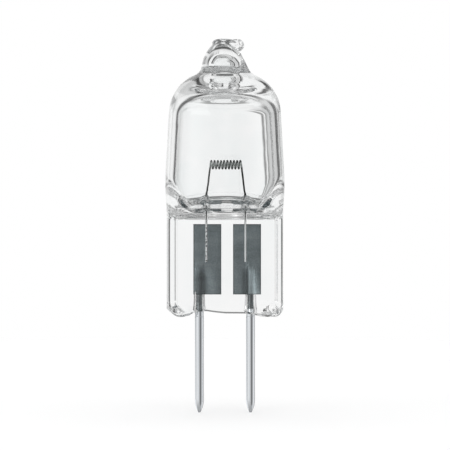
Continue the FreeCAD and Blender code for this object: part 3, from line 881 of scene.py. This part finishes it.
floor_mesh.from_pydata((np.array(rim_points) * MM).tolist(), [], [list(range(floor_sides))])
floor_mesh.materials.append(pale)
floor = bpy.data.objects.new("floor", floor_mesh)
bpy.context.scene.collection.objects.link(floor)


# White tent
# The studio round the bulb: white cloth with grey and black flags, which clear glass and bright metal show
# as dark lines. The camera sees it plain white, and scattered light comes from it evenly.
scattered_level = 1.15
world = bpy.data.worlds.new("white_tent")
bpy.context.scene.world = world
world.use_nodes = True
tree = world.node_tree
axes = node(tree, "ShaderNodeSeparateXYZ", {0: node(tree, "ShaderNodeTexCoord").outputs["Generated"]})
x, y, z = (axes.outputs[axis] for axis in "XYZ")

# Angles of a direction: sideways from straight behind, which above the horizon is counted in rings round the
# back, sideways from straight in front, and the climb over the horizon.
bearing = node(tree, "ShaderNodeMath", {0: x, 1: y}, operation="ARCTAN2").outputs[0]
off_back = node(tree, "ShaderNodeMath", {0: y}, operation="ARCCOSINE").outputs[0]
side_sign = node(tree, "ShaderNodeMath", {0: x}, operation="SIGN").outputs[0]
ringed = node(tree, "ShaderNodeMath", {0: off_back, 1: side_sign}, operation="MULTIPLY").outputs[0]
above = node(tree, "ShaderNodeMath", {0: z, 1: 0.0}, operation="GREATER_THAN").outputs[0]
behind = node(
    tree, "ShaderNodeMix", {"Factor": above, "A": bearing, "B": ringed}, data_type="FLOAT"
).outputs["Result"]
front_y = node(tree, "ShaderNodeMath", {0: y, 1: -1.0}, operation="MULTIPLY").outputs[0]
before = node(tree, "ShaderNodeMath", {0: x, 1: front_y}, operation="ARCTAN2").outputs[0]
climb = node(tree, "ShaderNodeMath", {0: z}, operation="ARCSINE").outputs[0]

# Grey levels by degrees. Behind, a black flag stands at the left, and two thin ones and a wide one at the
# right. In front, one wide dark flag stands right of the camera. A dark bar crosses overhead all round, two
# cross low down behind, and in front the ground is grey.
behind_stops = [
    (-90, 0.7), (-66, 0.45), (-56, 0.1), (-46.5, 0.08), (-44.5, 0.3), (-42.5, 0.65), (-39, 0.95), (-28, 1.0),
    (-25, 0.8), (-22, 0.8), (-19, 0.95), (9.8, 0.95), (10.8, 0.15), (11.8, 0.2), (12.6, 0.6), (13.4, 0.95),
    (14.2, 0.9), (14.8, 0.12), (15.8, 0.3), (17, 0.5), (22, 0.6), (23.5, 0.5), (24.8, 0.05), (37, 0.05),
    (40, 0.55), (44, 0.66), (52, 0.66), (65, 0.6), (90, 0.95),
]
before_stops = [
    (-90, 0.6), (-77, 0.85), (-45, 1.0), (-15, 0.75), (0, 0.52), (12, 0.32), (22, 0.2), (44, 0.2),
    (58, 0.45), (76, 0.85), (90, 0.9),
]
upper_stops = [(33, 0.95), (36, 0.5), (38, 0.1), (45, 0.1), (48, 0.8), (52, 0.75), (60, 0.4), (90, 0.4)]
far_stops = [
    (-90, 0.8), (-72, 0.8), (-67, 0.12), (-54, 0.12), (-51, 0.35), (-48, 0.35), (-45, 0.08), (-37, 0.08),
    (-34, 0.8), (-26, 0.95),
]
near_stops = [(-90, 0.2), (-75, 0.2), (-66, 0.45), (-40, 0.45), (-26, 0.55), (0, 0.8)]
greys = []
for angle, levels in (
    (behind, behind_stops),
    (before, before_stops),
    (climb, far_stops + upper_stops),
    (climb, near_stops + upper_stops),
):
    half_turn = node(
        tree,
        "ShaderNodeMapRange",
        {"Value": angle, "From Min": -math.pi / 2, "From Max": math.pi / 2},
    )
    grey = node(
        tree,
        "ShaderNodeValToRGB",
        {"Fac": half_turn.outputs["Result"]},
        stops=[((degrees + 90) / 180, (level, level, level, 1)) for degrees, level in levels],
    )
    greys.append(grey.outputs["Color"])
behind_grey, before_grey, far_grey, near_grey = greys
camera_side = node(tree, "ShaderNodeMath", {0: y, 1: 0.0}, operation="LESS_THAN").outputs[0]
upright = node(
    tree,
    "ShaderNodeMix",
    {"Factor": camera_side, "A": behind_grey, "B": before_grey},
    data_type="RGBA",
)
crossing = node(
    tree,
    "ShaderNodeMix",
    {"Factor": camera_side, "A": far_grey, "B": near_grey},
    data_type="RGBA",
)

# Upright flags give way to crossing bars high up, low down and, on the left, just under the horizon.
out_x = node(tree, "ShaderNodeMath", {0: x}, operation="ABSOLUTE").outputs[0]
over_back = node(tree, "ShaderNodeMath", {0: z, 1: out_x}, operation="ARCTAN2").outputs[0]
fades = []
for angle, start, end in ((over_back, 55, 75), (climb, 10, 18), (climb, -22, -34), (climb, -1.5, -4.5)):
    fade = node(
        tree,
        "ShaderNodeMapRange",
        {"Value": angle, "From Min": math.radians(start), "From Max": math.radians(end)},
    )
    fades.append(fade.outputs["Result"])
high_far, high_near, low, under_horizon = fades
high = node(
    tree, "ShaderNodeMix", {"Factor": camera_side, "A": high_far, "B": high_near}, data_type="FLOAT"
).outputs["Result"]
left = node(tree, "ShaderNodeMath", {0: x, 1: 0.0}, operation="LESS_THAN").outputs[0]
low_left = node(tree, "ShaderNodeMath", {0: under_horizon, 1: left}, operation="MULTIPLY").outputs[0]
high_or_low = node(tree, "ShaderNodeMath", {0: high, 1: low}, operation="MAXIMUM").outputs[0]
steep = node(tree, "ShaderNodeMath", {0: high_or_low, 1: low_left}, operation="MAXIMUM").outputs[0]
flags = node(
    tree,
    "ShaderNodeMix",
    {"Factor": steep, "A": upright.outputs["Result"], "B": crossing.outputs["Result"]},
    data_type="RGBA",
)
ray = node(tree, "ShaderNodeLightPath")
scattered = node(
    tree, "ShaderNodeMath", {0: ray.outputs["Diffuse Depth"], 1: 0.5}, operation="GREATER_THAN"
)
lit = node(
    tree,
    "ShaderNodeMix",
    {"Factor": scattered.outputs[0], "A": flags.outputs["Result"], "B": [scattered_level] * 3 + [1]},
    data_type="RGBA",
)
seen = node(
    tree,
    "ShaderNodeMix",
    {"Factor": ray.outputs["Is Camera Ray"], "A": lit.outputs["Result"], "B": (1, 1, 1, 1)},
    data_type="RGBA",
)
tree.links.new(seen.outputs["Result"], tree.nodes["Background"].inputs["Color"])


# Soft box
# One broad, low lamp with a white cloth, at the left in front of the bulb and above it.
# It is aimed at the bulb and adds a weak, soft light from that side.
box_place = Vector((-333, -192, 127)) * MM
box_aim = Vector((0, 0, 14)) * MM
lamp = bpy.data.lights.new("soft_box", "AREA")
lamp.shape = "RECTANGLE"
lamp.size = 380 * MM
lamp.size_y = 110 * MM
lamp.energy = 0.16
soft_box = bpy.data.objects.new("soft_box", lamp)
bpy.context.scene.collection.objects.link(soft_box)
soft_box.location = box_place
soft_box.rotation_euler = (box_aim - box_place).to_track_quat("-Z", "Y").to_euler()


# Camera
# A long lens that looks at the middle of the bulb from the front, one degree above level.
# The distance gives the bulb the size that it has in the photograph.
camera_distance = 293.1
aim = Vector((0.01, 0, 7.16)) * MM
elevation = math.radians(1)
lens = bpy.data.cameras.new("camera")
lens.lens = 300
lens.sensor_width = 36
lens.clip_start = 5 * MM
camera = bpy.data.objects.new("camera", lens)
bpy.context.scene.collection.objects.link(camera)
camera.location = aim + Vector((0, -math.cos(elevation), math.sin(elevation))) * (camera_distance * MM)
camera.rotation_euler = (aim - camera.location).to_track_quat("-Z", "Y").to_euler()
bpy.context.scene.camera = camera
bpy.context.scene.view_settings.view_transform = "Standard"

# Light runs along the quartz wall by many inner reflections before it comes out.
bpy.context.scene.cycles.glossy_bounces = 120
bpy.context.scene.cycles.transmission_bounces = 120
bpy.context.scene.cycles.max_bounces = 160
